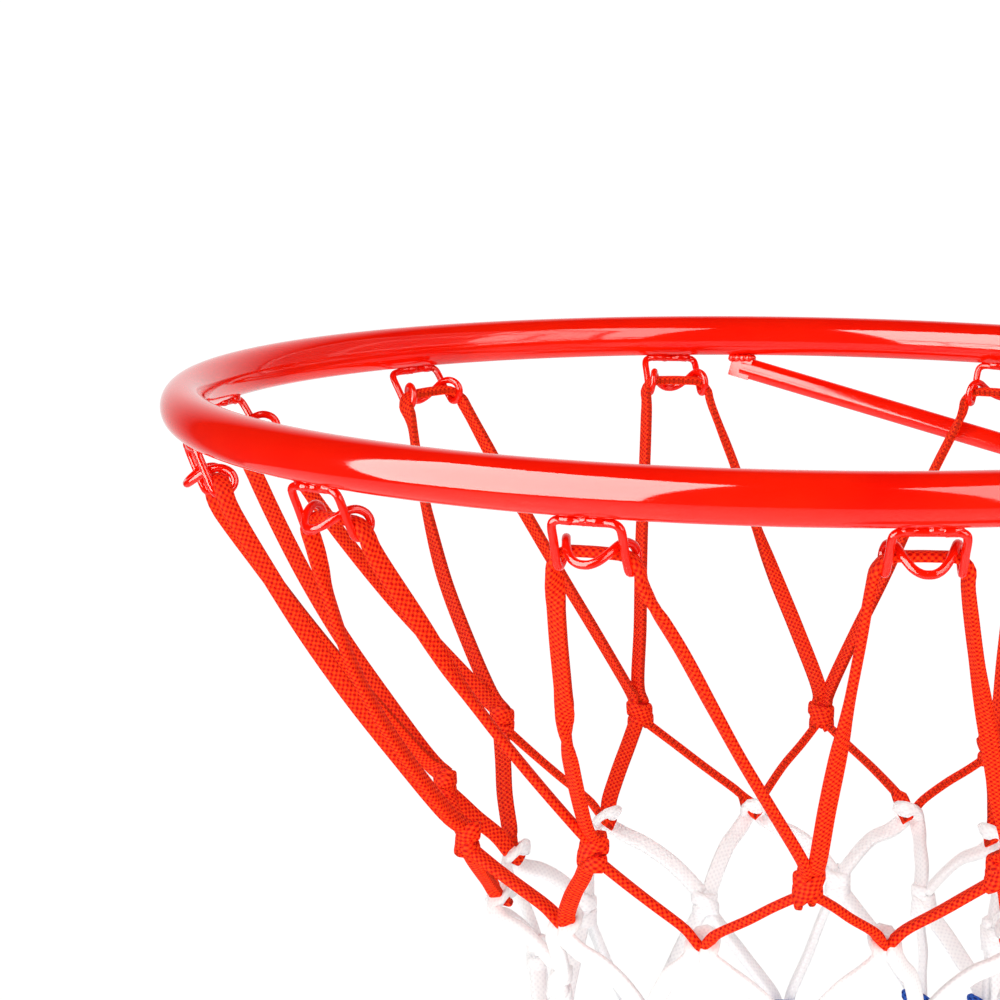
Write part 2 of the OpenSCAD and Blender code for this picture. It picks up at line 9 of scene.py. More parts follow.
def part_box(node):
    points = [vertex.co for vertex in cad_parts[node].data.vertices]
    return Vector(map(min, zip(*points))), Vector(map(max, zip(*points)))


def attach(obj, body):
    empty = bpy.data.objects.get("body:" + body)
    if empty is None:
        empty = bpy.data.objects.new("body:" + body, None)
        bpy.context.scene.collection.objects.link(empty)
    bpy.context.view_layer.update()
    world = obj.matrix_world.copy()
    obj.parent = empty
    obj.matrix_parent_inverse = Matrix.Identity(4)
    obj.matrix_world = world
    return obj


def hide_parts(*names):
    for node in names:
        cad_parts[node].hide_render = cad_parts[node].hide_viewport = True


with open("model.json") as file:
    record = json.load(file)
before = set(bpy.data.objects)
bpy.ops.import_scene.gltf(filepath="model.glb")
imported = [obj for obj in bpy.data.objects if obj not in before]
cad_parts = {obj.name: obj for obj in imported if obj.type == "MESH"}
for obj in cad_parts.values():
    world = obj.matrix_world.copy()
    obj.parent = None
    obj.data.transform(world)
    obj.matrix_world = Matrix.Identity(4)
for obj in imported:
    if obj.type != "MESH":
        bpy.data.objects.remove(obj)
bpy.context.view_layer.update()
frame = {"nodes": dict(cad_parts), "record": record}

# A portable basketball hoop: camera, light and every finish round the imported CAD, and new pieces for
# the ring's bar, its hooks, the welds and the net. A length in mm is multiplied by MM.

MM = 0.001
UP = Vector((0, 0, 1))

# ---------------------------------------------------------------- places taken from the frame

ring_low, ring_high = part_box("rim_ring")
RING = (ring_low + ring_high) / 2
BAR_R = (ring_high.z - ring_low.z) / 2
RING_R = (ring_high.x - ring_low.x) / 2 - BAR_R


def radial(angle):
    """Unit vector from the ring's axis at an angle in degrees from +X."""
    return Vector((math.cos(math.radians(angle)), math.sin(math.radians(angle)), 0))


def around(angle):
    """Unit vector along the ring at an angle in degrees from +X."""
    return Vector((-math.sin(math.radians(angle)), math.cos(math.radians(angle)), 0))


def turned(azimuth):
    """Rotation about the vertical by an azimuth in degrees, from the front of the hoop."""
    return Matrix.Rotation(math.radians(azimuth), 3, "Z")


# ---------------------------------------------------------------- camera

# Where the camera stands: degrees round the ring and above it, and distance in ring radii
CAMERA_AZIMUTH = 76.0
CAMERA_HEIGHT = 7.404
CAMERA_DISTANCE = 5.08486
# Turn of the view away from the ring's centre: an axis whose length is the angle in radians
CAMERA_TURN = Vector((0.03299, 0.09481, 0.02095))
# Focal length over the sensor's width, and that width in mm
FOCAL_RATIO = 3.0659
SENSOR = 36.0
CLIP_END = 100


def add_camera():
    """Camera that looks across the ring from its +X side; gives back its direction from the ring."""
    height = math.radians(CAMERA_HEIGHT)
    back = turned(CAMERA_AZIMUTH) @ Vector((0, -math.cos(height), math.sin(height)))
    level = Matrix(((1, 0, 0), (0, 0, -1), (0, 1, 0))) @ turned(-CAMERA_AZIMUTH)
    turn = Quaternion(CAMERA_TURN.normalized(), CAMERA_TURN.length).to_matrix()
    to_lens = turn @ Matrix.Rotation(height, 3, "X") @ level
    flip = Matrix(((1, 0, 0), (0, -1, 0), (0, 0, -1)))
    data = bpy.data.cameras.new("camera")
    data.sensor_width = SENSOR
    data.lens = FOCAL_RATIO * SENSOR
    data.clip_end = CLIP_END
    camera = bpy.data.objects.new("camera", data)
    stand = Matrix.Translation(RING + back * CAMERA_DISTANCE * RING_R)
    camera.matrix_world = stand @ (flip @ to_lens).transposed().to_4x4()
    bpy.context.scene.collection.objects.link(camera)
    bpy.context.scene.camera = camera
    return back


camera_back = add_camera()

# ---------------------------------------------------------------- node helpers

# The Mix node's colour sockets: the two inputs and the output
MIX_A = 6
MIX_B = 7
MIX_RESULT = 2


def add_node(tree, kind, **settings):
    """A new shader node with its settings."""
    made = tree.nodes.new("ShaderNode" + kind)
    for key, value in settings.items():
        setattr(made, key, value)
    return made


def set_stops(ramp, stops):
    """Gives a colour ramp its stops: (position, (red, green, blue)) from 0 to 1."""
    elements = ramp.color_ramp.elements
    while len(elements) < len(stops):
        elements.new(0.5)
    for element, (position, color) in zip(elements, stops):
        element.position = position
        element.color = (*color, 1)


class Finish:
    """A material with one Principled shader and short calls for its texture nodes."""

    def __init__(self, name, color, roughness, **sockets):
        self.mat = bpy.data.materials.new(name)
        self.mat.use_nodes = True
        self.tree = self.mat.node_tree
        self.shader = self.tree.nodes["Principled BSDF"]
        self.shader.inputs["Base Color"].default_value = (*color, 1)
        self.shader.inputs["Roughness"].default_value = roughness
        for key, value in sockets.items():
            self.shader.inputs[key.replace("_", " ")].default_value = value
        self.place = None

    def node(self, kind, **settings):
        return add_node(self.tree, kind, **settings)

    def link(self, source, target):
        self.tree.links.new(source, target)

    def noise(self, scale, detail, rough=0.5):
        """Grey noise over the object's own coordinates."""
        if self.place is None:
            self.place = self.node("TexCoord").outputs["Object"]
        made = self.node("TexNoise")
        made.inputs["Scale"].default_value = scale
        made.inputs["Detail"].default_value = detail
        made.inputs["Roughness"].default_value = rough
        self.link(self.place, made.inputs["Vector"])
        return made.outputs["Fac"]

    def run(self):
        """Places on a swept surface in mm: along its path and round its section."""
        split = self.node("SeparateXYZ")
        self.link(self.node("Attribute", attribute_name="cord_run").outputs["Vector"], split.inputs[0])
        return split.outputs["X"], split.outputs["Y"]

    def calc(self, operation, *values, clamp=False):
        """A Math node on one or two values, each a number or another node's output."""
        made = self.node("Math", operation=operation, use_clamp=clamp)
        for socket, value in zip(made.inputs, values):
            if isinstance(value, (int, float)):
                socket.default_value = value
            else:
                self.link(value, socket)
        return made.outputs[0]

    def ramp(self, factor, stops):
        made = self.node("ValToRGB")
        set_stops(made, stops)
        self.link(factor, made.inputs[0])
        return made.outputs[0]

    def color_from(self, factor, stops):
        self.link(self.ramp(factor, stops), self.shader.inputs["Base Color"])

    def rough_from(self, factor, low, high):
        made = self.node("MapRange")
        made.inputs["To Min"].default_value = low
        made.inputs["To Max"].default_value = high
        self.link(factor, made.inputs["Value"])
        self.link(made.outputs[0], self.shader.inputs["Roughness"])

    def bump(self, height, depth):
        """Relief of a depth in metres."""
        made = self.node("Bump")
        made.inputs["Distance"].default_value = depth
        self.link(height, made.inputs["Height"])
        self.link(made.outputs[0], self.shader.inputs["Normal"])


# ---------------------------------------------------------------- light and floor

# Strength of the room in diffuse light, of its floor in reflections, and of the backdrop that the camera sees
SOFT_LIGHT = 0.5
FLOOR_GLOW = 2.9
BACKDROP = 1.05
LIGHT_TINT = (1.0, 0.97, 0.92)
# Grey of the room in reflections: from straight down to straight up, and towards the wall behind the ring
FLOOR_MIRROR = [(0.05, 1.0), (0.12, 0.3), (0.24, 0.02), (0.8, 0.004)]
WALL_MIRROR = [(0.82, 0.0), (0.97, 0.32)]

FLOOR_RADIUS = 4.2
FLOOR_SIDES = 96
FLOOR_DROP = 0.5 * MM
FLOOR_COLOR = (0.9, 0.9, 0.9)
FLOOR_ROUGHNESS = 0.6


def area_light(name, azimuth, distance, height, width, tall, power, mirrored=True, lit=True):
    """Soft box that faces the ring, in degrees, metres and watts.

    Its shape shows in reflections when mirrored, its light falls on surfaces when lit, and the
    camera never sees it.
    """
    place = Vector((RING.x, RING.y, 0)) + turned(azimuth) @ Vector((0, -distance, 0)) + UP * height
    data = bpy.data.lights.new(name, "AREA")
    data.shape = "RECTANGLE"
    data.size = width
    data.size_y = tall
    data.energy = power
    data.color = LIGHT_TINT
    light = bpy.data.objects.new(name, data)
    facing = (RING - place).to_track_quat("-Z", "Y").to_matrix().to_4x4()
    light.matrix_world = Matrix.Translation(place) @ facing
    light.visible_camera = False
    light.visible_glossy = mirrored
    light.visible_diffuse = lit
    bpy.context.scene.collection.objects.link(light)


def add_world():
    """White to the camera, dim with a white floor and wall in reflections, soft grey in diffuse light."""
    world = bpy.data.worlds.new("studio")
    bpy.context.scene.world = world
    world.use_nodes = True
    tree = world.node_tree
    tree.nodes.clear()
    link = tree.links.new
    way = add_node(tree, "TexCoord").outputs["Generated"]
    path = add_node(tree, "LightPath")

    def grey_towards(direction, stops):
        """Grey by how far a ray points in a direction: 0 is straight away from it, 1 straight along it."""
        dot = add_node(tree, "VectorMath", operation="DOT_PRODUCT")
        dot.inputs[1].default_value = direction
        link(way, dot.inputs[0])
        share = add_node(tree, "MapRange")
        share.inputs["From Min"].default_value = -1
        link(dot.outputs["Value"], share.inputs["Value"])
        made = add_node(tree, "ValToRGB")
        set_stops(made, [(position, (grey, grey, grey)) for position, grey in stops])
        link(share.outputs[0], made.inputs[0])
        return made.outputs[0]

    def background(strength, color=None):
        made = add_node(tree, "Background")
        made.inputs["Color"].default_value = (1, 1, 1, 1)
        made.inputs["Strength"].default_value = strength
        if color is not None:
            link(color, made.inputs["Color"])
        return made.outputs[0]

    def for_rays(kind, others, chosen):
        """One shader for rays of a kind and another for the rest."""
        made = add_node(tree, "MixShader")
        link(path.outputs[kind], made.inputs[0])
        link(others, made.inputs[1])
        link(chosen, made.inputs[2])
        return made.outputs[0]

    lighter = add_node(tree, "MixRGB", blend_type="LIGHTEN")
    lighter.inputs["Fac"].default_value = 1.0
    link(grey_towards((0, 0, 1), FLOOR_MIRROR), lighter.inputs[1])
    link(grey_towards((-camera_back.x, -camera_back.y, 0), WALL_MIRROR), lighter.inputs[2])
    room = for_rays("Is Glossy Ray", background(SOFT_LIGHT), background(FLOOR_GLOW, lighter.outputs[0]))
    seen = for_rays("Is Camera Ray", room, background(BACKDROP))
    link(seen, add_node(tree, "OutputWorld").inputs[0])


def add_floor():
    """Pale round floor under the base."""
    edge = [radial(360 * k / FLOOR_SIDES) * FLOOR_RADIUS for k in range(FLOOR_SIDES)]
    faces = [(0, 1 + k, 1 + (k + 1) % FLOOR_SIDES) for k in range(FLOOR_SIDES)]
    mesh = bpy.data.meshes.new("floor")
    mesh.from_pydata([(0, 0, 0)] + [tuple(point) for point in edge], [], faces)
    mesh.materials.append(Finish("pale_floor", FLOOR_COLOR, FLOOR_ROUGHNESS).mat)
    floor = bpy.data.objects.new("floor", mesh)
    floor.location.z = -FLOOR_DROP
    bpy.context.scene.collection.objects.link(floor)


add_world()
area_light("softbox_left", CAMERA_AZIMUTH - 49, 2.2, 2.95, 2.5, 4.0, 400, lit=False)
area_light("softbox_right", CAMERA_AZIMUTH + 54, 2.2, 3.2, 2.0, 3.0, 115, lit=False)
area_light("key", CAMERA_AZIMUTH - 35, 3.0, 4.2, 2.0, 2.0, 60, mirrored=False)
area_light("fill", CAMERA_AZIMUTH + 50, 3.2, 3.0, 2.4, 2.4, 36, mirrored=False)
area_light("bounce", CAMERA_AZIMUTH, 1.2, 0.75, 3.0, 1.9, 31, mirrored=False)
area_light("backlight", CAMERA_AZIMUTH + 180, 3.0, 3.2, 3.0, 2.4, 30, mirrored=False)
add_floor()
bpy.context.scene.view_settings.view_transform = "Standard"

# ---------------------------------------------------------------- finishes

# Rubbed spots on the ring in mm: along it from +X, round the bar from outside towards the top, and half sizes
RING_SPOTS = [(1066, 3.4, 5.5, 0.5), (1082, 4.4, 7.0, 0.45), (1093, 2.2, 3.0, 0.3), (1112, 5.0, 4.0, 0.3),
              (420, 3.0, 6.0, 0.4), (640, 4.1, 4.5, 0.4), (1310, 24.0, 6.0, 0.5)]
RUB_COLOR = (0.95, 0.3, 0.25)
RUB_STRENGTH = 0.4

# The braid in mm: a stitch's length and width, the spacing of its long grooves, and how far its rows waver
STITCH_LONG = 2.3
STITCH_WIDE = 1.15
GROOVE = 2.3
ROW_WAVER = 0.9
# How narrow the grooves are, and how deep and how darkened by painted shade beside the stitches
GROOVE_POWER = 7
GROOVE_SHARE = 0.45


def rubbed(finish, base, places, flakes, spot):
    """Mixes a paler red into the base colour inside one spot, an oval broken up by flakes."""
    squares = []
    for place, middle, half in zip(places, spot[:2], spot[2:]):
        share = finish.calc("DIVIDE", finish.calc("SUBTRACT", place, middle), half)
        squares.append(finish.calc("MULTIPLY", share, share))
    inside = finish.calc("LESS_THAN", finish.calc("ADD", *squares), 1.0)
    worn = finish.calc("MULTIPLY", inside, flakes)
    mix = finish.node("Mix", data_type="RGBA")
    finish.link(finish.calc("MULTIPLY", worn, RUB_STRENGTH), mix.inputs["Factor"])
    finish.link(base, mix.inputs[MIX_A])
    mix.inputs[MIX_B].default_value = (*RUB_COLOR, 1)
    return mix.outputs[MIX_RESULT]


def gloss_red(name, spots=()):
    """Bright glossy red powder coat with faint orange peel, and rubbed spots listed as in RING_SPOTS."""
    finish = Finish(name, (0.95, 0.008, 0.0008), 0.4, Specular_IOR_Level=0.0, Coat_Weight=1.0, Coat_IOR=1.5,
                    Coat_Roughness=0.065)
    base = finish.ramp(finish.noise(26, 4), [(0.3, (0.92, 0.005, 0.0006)), (0.7, (0.98, 0.012, 0.001))])
    if spots:
        places = finish.run()
        flakes = finish.calc("GREATER_THAN", finish.noise(420, 4, 0.7), 0.5)
        for spot in spots:
            base = rubbed(finish, base, places, flakes, spot)
    finish.link(base, finish.shader.inputs["Base Color"])
    finish.rough_from(finish.noise(60, 3), 0.35, 0.5)
    finish.bump(finish.noise(420, 2), 0.00006)
    return finish.mat


def satin_black():
    """Satin black powder coat."""
    finish = Finish("satin_black", (0.03, 0.03, 0.034), 0.4, Coat_Weight=0.15, Coat_Roughness=0.3)
    finish.color_from(finish.noise(18, 5, 0.6), [(0.35, (0.02, 0.02, 0.023)), (0.7, (0.042, 0.042, 0.046))])
    finish.rough_from(finish.noise(45, 4), 0.3, 0.48)
    finish.bump(finish.noise(900, 2), 0.00008)
    return finish.mat


def zinc():
    """Zinc-plated steel."""
    finish = Finish("zinc_plate", (0.62, 0.63, 0.65), 0.3, Metallic=1.0)
    finish.color_from(finish.noise(240, 4), [(0.3, (0.5, 0.5, 0.5)), (0.7, (0.72, 0.73, 0.74))])
    finish.rough_from(finish.noise(160, 3), 0.2, 0.42)
    finish.bump(finish.noise(1200, 2), 0.00004)
    return finish.mat


def moulded(name, dark, light, grain=900, depth=0.0002, rough=(0.45, 0.62)):
    """Moulded plastic or rubber with a fine grain and slow colour change."""
    finish = Finish(name, light, rough[0])
    finish.color_from(finish.noise(9, 6, 0.65), [(0.3, dark), (0.72, light)])
    finish.rough_from(finish.noise(30, 4), *rough)
    finish.bump(finish.noise(grain, 3, 0.6), depth)
    return finish.mat


def clear_sheet():
    """Clear polycarbonate, shown as a thin veil."""
    finish = Finish("clear_sheet", (0.86, 0.93, 0.95), 0.06, Alpha=0.16)
    finish.rough_from(finish.noise(6, 5, 0.6), 0.03, 0.14)
    finish.mat.blend_method = "BLEND"
    return finish.mat


def braid(name, thread_highlight, middle, gap_shade, depth):
    """Braided cord: stitches in brick rows with long grooves; painted highlight on the raised stitches,
    painted shade darkening the gaps at each corner and the grooves.
    """
    finish = Finish(name, thread_highlight, 0.75, Specular_IOR_Level=0.06)
    along, girth = finish.run()

    def wave(place, period):
        """Cosine of a place in mm, with a half period in mm."""
        return finish.calc("COSINE", finish.calc("MULTIPLY", place, math.pi / period))

    waver = finish.calc("MULTIPLY", finish.noise(300, 2), ROW_WAVER)
    rows = wave(finish.calc("ADD", along, waver), STITCH_LONG / 2)
    cell = finish.calc("MULTIPLY", rows, wave(girth, STITCH_WIDE))
    grooves = finish.calc("POWER", finish.calc("ABSOLUTE", wave(girth, GROOVE)), GROOVE_POWER)
    uneven = finish.calc("SUBTRACT", finish.noise(900, 2, 0.6), 0.5)
    stitches = finish.calc("ADD", cell, uneven)
    relief = finish.calc("ADD", stitches, finish.calc("MULTIPLY", grooves, GROOVE_SHARE))
    tone = finish.calc("ADD", finish.calc("MULTIPLY", relief, 0.5), 0.5, clamp=True)
    # Colour by relief: thread colour with painted highlight on the raised stitches, then the middle colour,
    # then painted shade in the gaps and grooves
    finish.color_from(tone, [(0.25, thread_highlight), (0.66, middle), (0.92, gap_shade)])
    finish.bump(finish.calc("SUBTRACT", 1.0, tone), depth)
    return finish.mat


RED_RING = gloss_red("red_powder_ring", RING_SPOTS)
RED = gloss_red("red_powder")
# Each cord: thread colour with painted highlight, middle colour, and painted shade for the gaps and grooves
CORD_RED = braid("braid_red", (1.0, 0.064, 0.004), (0.98, 0.014, 0.0012), (0.55, 0.0, 0.0), 0.00025)
CORD_WHITE = braid("braid_white", (0.97, 0.97, 0.98), (0.95, 0.95, 0.965), (0.88, 0.88, 0.905), 0.00006)
CORD_BLUE = braid("braid_blue", (0.03, 0.12, 0.55), (0.02, 0.08, 0.42), (0.006, 0.02, 0.16), 0.0003)

SLOT_FINISH = {
    "powder_red": RED,
    "powder_black": satin_black(),
    "zinc_steel": zinc(),
    "tank_plastic": moulded("tank_polyethylene", (0.018, 0.019, 0.022), (0.045, 0.046, 0.052), 700,
                            0.0004),
    "wheel_plastic": moulded("wheel_plastic", (0.03, 0.03, 0.033), (0.06, 0.06, 0.066)),
    "guide_plastic": moulded("acetal", (0.7, 0.69, 0.64), (0.82, 0.81, 0.77), 1500, 0.00005),
    "cap_plastic": moulded("red_plastic", (0.5, 0.012, 0.008), (0.68, 0.02, 0.012), 1200, 0.00006,
                           (0.28, 0.4)),
    "tyre_rubber": moulded("tyre_rubber", (0.012, 0.012, 0.012), (0.035, 0.035, 0.036), 1100, 0.0002,
                           (0.7, 0.85)),
    "clear_board": clear_sheet(),
    "board_film": moulded("white_film", (0.8, 0.8, 0.8), (0.9, 0.9, 0.9), 1400, 0.00002, (0.3, 0.4)),
    "edge_rubber": moulded("edge_rubber", (0.012, 0.012, 0.013), (0.03, 0.03, 0.032), 1000, 0.0001,
                           (0.6, 0.75)),
    "cord_red": CORD_RED,
    "cord_white": CORD_WHITE,
    "cord_blue": CORD_BLUE,
}
for part in frame["record"]["subparts"]:
    materials = frame["nodes"][part["node"]].data.materials
    materials.clear()
    materials.append(SLOT_FINISH[part["material_slot"]])

# ---------------------------------------------------------------- mesh helpers

# How quickly the unevenness of a lump changes over its surface
LUMP_GRAIN = 1.9


class Mesh:
    """Collects swept tubes and lumps, then becomes one object."""

    def __init__(self):
        self.points = []
        self.faces = []
        self.runs = []

    def add(self, points, faces, runs=None):
        """Adds faces on their own points; runs are the points' places for Finish.run."""
        start = len(self.points)
        self.points += points
        self.faces += [tuple(start + i for i in face) for face in faces]
        self.runs += runs or [(0.0, 0.0, 0.0)] * len(points)

    def finish(self, name, material, body, slot, *replaced):
        """Makes the piece, which rides on a body and stands for the replaced CAD nodes."""
        mesh = bpy.data.meshes.new(name)
        mesh.from_pydata([tuple(point) for point in self.points], [], self.faces)
        mesh.polygons.foreach_set("use_smooth", [True] * len(mesh.polygons))
        run = mesh.attributes.new("cord_run", "FLOAT_VECTOR", "POINT")
        run.data.foreach_set("vector", [value for place in self.runs for value in place])
        mesh.materials.append(material)
        mesh.update()
        piece = bpy.data.objects.new(name, mesh)
        bpy.context.scene.collection.objects.link(piece)
        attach(piece, body)
        if replaced:
            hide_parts(*replaced)


def smooth_path(points, step, closed=False):
    """Catmull-Rom curve through points, cut into steps of about that length."""
    count = len(points)
    made = []
    for k in range(count if closed else count - 1):
        if closed:
            a, b, c, d = (points[(k + j) % count] for j in (-1, 0, 1, 2))
        else:
            b, c = points[k], points[k + 1]
            a = points[k - 1] if k else b + (b - c)
            d = points[k + 2] if k + 2 < count else c + (c - b)
        cuts = max(1, round((c - b).length / step))
        for j in range(cuts):
            t = j / cuts
            made.append(0.5 * (2 * b + (c - a) * t + (2 * a - 5 * b + 4 * c - d) * t * t
                               + (3 * b - a - 3 * c + d) * t ** 3))
    if not closed:
        made.append(points[-1].copy())
    return made


def directions(path, closed):
    """Unit vector along the path at each of its points."""
    last = len(path) - 1
    made = []
    for k in range(len(path)):
        if closed:
            way = path[(k + 1) % len(path)] - path[k - 1]
        else:
            way = path[min(k + 1, last)] - path[max(k - 1, 0)]
        made.append(way.normalized())
    return made


def sweep(mesh, path, section, normals, closed=False):
    """Sweeps a closed section, given as (breadth, thickness) points, along a path with its own normals."""
    ways = directions(path, closed)
    size = len(section)
    points, runs = [], []
    length = 0.0
    girths = [0.0]
    for k in range(1, size):
        girths.append(girths[-1] + math.dist(section[k], section[k - 1]))
    for k, spot in enumerate(path):
        if k:
            length += (spot - path[k - 1]).length
        normal = (normals[k] - ways[k] * normals[k].dot(ways[k])).normalized()
        side = ways[k].cross(normal)
        for (breadth, thickness), girth in zip(section, girths):
            points.append(spot + side * breadth + normal * thickness)
            runs.append((length / MM, girth / MM, 0.0))
    faces = []
    rings = len(path) if closed else len(path) - 1
    for k in range(rings):
        j = (k + 1) % len(path)
        for m in range(size):
            n = (m + 1) % size
            faces.append((k * size + m, k * size + n, j * size + n, j * size + m))
    if not closed:
        faces.append(tuple(reversed(range(size))))
        faces.append(tuple((len(path) - 1) * size + m for m in range(size)))
    mesh.add(points, faces, runs)


def round_section(radius, sides):
    """Outline of a round bar or wire."""
    return [(radius * math.cos(2 * math.pi * k / sides), radius * math.sin(2 * math.pi * k / sides))
            for k in range(sides)]


def flat_section(breadth, thickness, sides=14, square=0.62):
    """Flat cord with rounded edges: a superellipse."""
    made = []
    for k in range(sides):
        angle = 2 * math.pi * (k + 0.5) / sides
        across, through = math.cos(angle), math.sin(angle)
        made.append((breadth / 2 * math.copysign(abs(across) ** square, across),
                     thickness / 2 * math.copysign(abs(through) ** square, through)))
    return made


def carried_normals(path, first):
    """Normals turned along a closed path with no twist of their own."""
    ways = directions(path, True)
    made = [(first - ways[0] * first.dot(ways[0])).normalized()]
    for way in ways[1:]:
        made.append((made[-1] - way * made[-1].dot(way)).normalized())
    return made


def lump(mesh, centre, axes, seed, rough, rings=7, sides=10):
    """An uneven rounded lump on three half-axis vectors: a bit of weld, or the core of a knot."""
    points = []
    for i in range(1, rings):
        for k in range(sides):
            down, turn = math.pi * i / rings, 2 * math.pi * k / sides
            unit = Vector((math.sin(down) * math.cos(turn), math.sin(down) * math.sin(turn), math.cos(down)))
            grow = 1 + rough * noise.noise(unit * LUMP_GRAIN + Vector((seed, 0, 0)))
            points.append(centre + (axes[0] * unit.x + axes[1] * unit.y + axes[2] * unit.z) * grow)
    points += [centre + axes[2], centre - axes[2]]
    top, bottom = len(points) - 2, len(points) - 1
    last = (rings - 2) * sides
    faces = []
    for i in range(rings - 2):
        for k in range(sides):
            n = (k + 1) % sides
            faces.append((i * sides + k, (i + 1) * sides + k, (i + 1) * sides + n, i * sides + n))
    for k in range(sides):
        n = (k + 1) % sides
        faces.append((top, k, n))
        faces.append((bottom, last + n, last + k))
    mesh.add(points, faces)


# ---------------------------------------------------------------- ring, hooks and welds

RING_STEPS = 288
BAR_SIDES = 40
WIRE_SIDES = 12

# Each hook: angle from +X, then its hand-welded tilt, swing and lean in degrees
HOOKS = [(36, 2, 1, -3), (63, -3, 0, 2), (90, 4, -2, -1), (117, -2, 2, 3), (142, -1.6, -2, 8.8),
         (180.1, 6.5, -1.4, 5.1), (211.9, 8.5, 2.9, -3.5), (244.9, 2.6, -1.1, -5.4),
         (276.3, -9.8, -6.9, -2.2), (302.8, -6.6, -2.4, 3.2), (330, -6.9, 0, -1.2),
         (356.8, 3.2, 0.3, -3.8)]
COUNT = len(HOOKS)
HOOK_WIRE_R = 1.5 * MM
HOOK_STEP = 0.9 * MM
# How far the wire sinks into the bar in mm
HOOK_SINK = 0.15
# Half of one hook's wire in mm: along the ring, inwards from the bar, and up from the top bar
HOOK_HALF = [
    (0, 0, 0), (4.5, 0, 0), (8.6, 0, 0), (10.9, 0.2, -0.7), (11.9, 1.3, -2.6), (12.0, 4.6, -8.2),
    (12.2, 7.7, -13.4), (12.3, 9.6, -15.6), (12.5, 12.4, -15.5), (12.6, 15.0, -13.2), (12.3, 15.9, -10.2),
    (11.6, 14.2, -7.4), (10.3, 10.8, -6.2), (9.0, 7.4, -7.1), (7.4, 4.3, -9.4), (4.9, 1.7, -12.1),
    (2.3, 0.5, -13.5), (0, 0.3, -13.8),
]
# How uneven the welds are, as a share of their size
WELD_ROUGH = 0.3
# Weld lumps of one hook in mm: place along the ring and half length, then how far they reach outwards
HOOK_LUMPS = [(-5.5, 4.2), (0.6, 3.4), (5.2, 4.6)]
HOOK_LUMP_OUT = 2.5

# Beads of weld in mm: their spacing and half length, then half thickness at each joint
BEAD_STEP = 2.3
BEAD_HALF = 2.1
NECK_BEAD = 1.7
PLATE_BEAD = 1.9
BLOCK_BEAD = 1.8
FOOT_BEAD = 1.5
# Neck: half length of its two beads on the ring, the spacing of their points, and the drop between them
NECK_HALF = 38
NECK_SPACING = 4
NECK_DROP = 5
# Brace block: how far its middle lies inside the brace's box, how far its top is under the bar,
# half its width, and where a bead starts and ends along it
BLOCK_IN = 5
BLOCK_UNDER = 0.9
BLOCK_HALF = 2.6
BLOCK_START = 3.0
BLOCK_END = 10.8
# Brace foot: distance from the middle of the plate, height over the brace's lowest point, and bead radius
FOOT_X = 65
FOOT_UP = 5.4
FOOT_R = 5.6
FOOT_POINTS = 10


def hook_point(hook, x, inward, up):
    """A place on a tilted hook, in mm along the ring, inwards, and up from just under the bar."""
    angle, *turns = hook
    turn = Vector([math.radians(t) for t in turns])
    x, inward, up = Quaternion(turn, turn.length) @ Vector((x, inward, up))
    return (RING + radial(angle) * (RING_R - inward * MM) + around(angle) * (x * MM)
            + UP * ((up + HOOK_SINK) * MM - BAR_R - HOOK_WIRE_R))


def mirrored_points(hook, half, joined):
    """Both halves of a hook's line, from -x to +x or all round when it is joined to itself."""
    if joined:
        return ([hook_point(hook, *place) for place in half]
                + [hook_point(hook, -x, inward, up) for x, inward, up in reversed(half[1:-1])])
    return ([hook_point(hook, -x, inward, up) for x, inward, up in half]
            + [hook_point(hook, *place) for place in reversed(half)])


def build_ring():
    mesh = Mesh()
    path = [RING + radial(360 * k / RING_STEPS) * RING_R for k in range(RING_STEPS)]
    sweep(mesh, path, round_section(BAR_R, BAR_SIDES), [UP] * RING_STEPS, closed=True)
    mesh.finish("ring_bar", RED_RING, "head", "powder_red", "rim_ring")


def build_hooks():
    mesh = Mesh()
    chance = random.Random(4)
    for index, hook in enumerate(HOOKS):
        path = smooth_path(mirrored_points(hook, HOOK_HALF, True), HOOK_STEP, closed=True)
        sweep(mesh, path, round_section(HOOK_WIRE_R, WIRE_SIDES), carried_normals(path, UP), closed=True)
        along, out = around(hook[0]), radial(hook[0])
        for x, half in HOOK_LUMPS:
            x += chance.uniform(-1.6, 1.6)
            spot = hook_point(hook, x, chance.uniform(-0.4, 0.6), chance.uniform(0.3, 0.8))
            axes = (along * half * MM, out * HOOK_LUMP_OUT * MM, UP * chance.uniform(1.7, 2.3) * MM)
            lump(mesh, spot, axes, index * 7 + x, rough=WELD_ROUGH)
    mesh.finish("hook_wires", RED, "head", "powder_red", "net_hooks")


def bead(mesh, points, thick, seed):
    """A weld: overlapping ripples along a line through the points, of a half thickness in mm."""
    path = smooth_path(points, BEAD_STEP * MM)
    for k, (spot, way) in enumerate(zip(path, directions(path, False))):
        side = way.orthogonal().normalized()
        axes = (way * BEAD_HALF * MM, side * thick * MM, way.cross(side) * thick * MM)
        lump(mesh, spot, axes, seed + k * 0.37, rough=WELD_ROUGH, rings=6, sides=8)


def neck_welds(mesh, top):
    """Two beads along the outside of the ring, where the neck meets it."""
    outside = RING_R + BAR_R
    for z in (top, top - NECK_DROP * MM):
        points = []
        for x in range(-NECK_HALF, NECK_HALF + 1, NECK_SPACING):
            points.append(Vector((x * MM, RING.y + math.sqrt(outside ** 2 - (x * MM) ** 2), z)))
        bead(mesh, points, NECK_BEAD, z)


def plate_welds(mesh, low, high, plate_y):
    """Beads over the neck's top and down its two sides, where it meets the plate."""
    bead(mesh, [Vector((low.x, plate_y, high.z)), Vector((high.x, plate_y, high.z))], PLATE_BEAD, 3)
    for x in (low.x, high.x):
        bead(mesh, [Vector((x, plate_y, low.z)), Vector((x, plate_y, high.z))], PLATE_BEAD, x * 50)


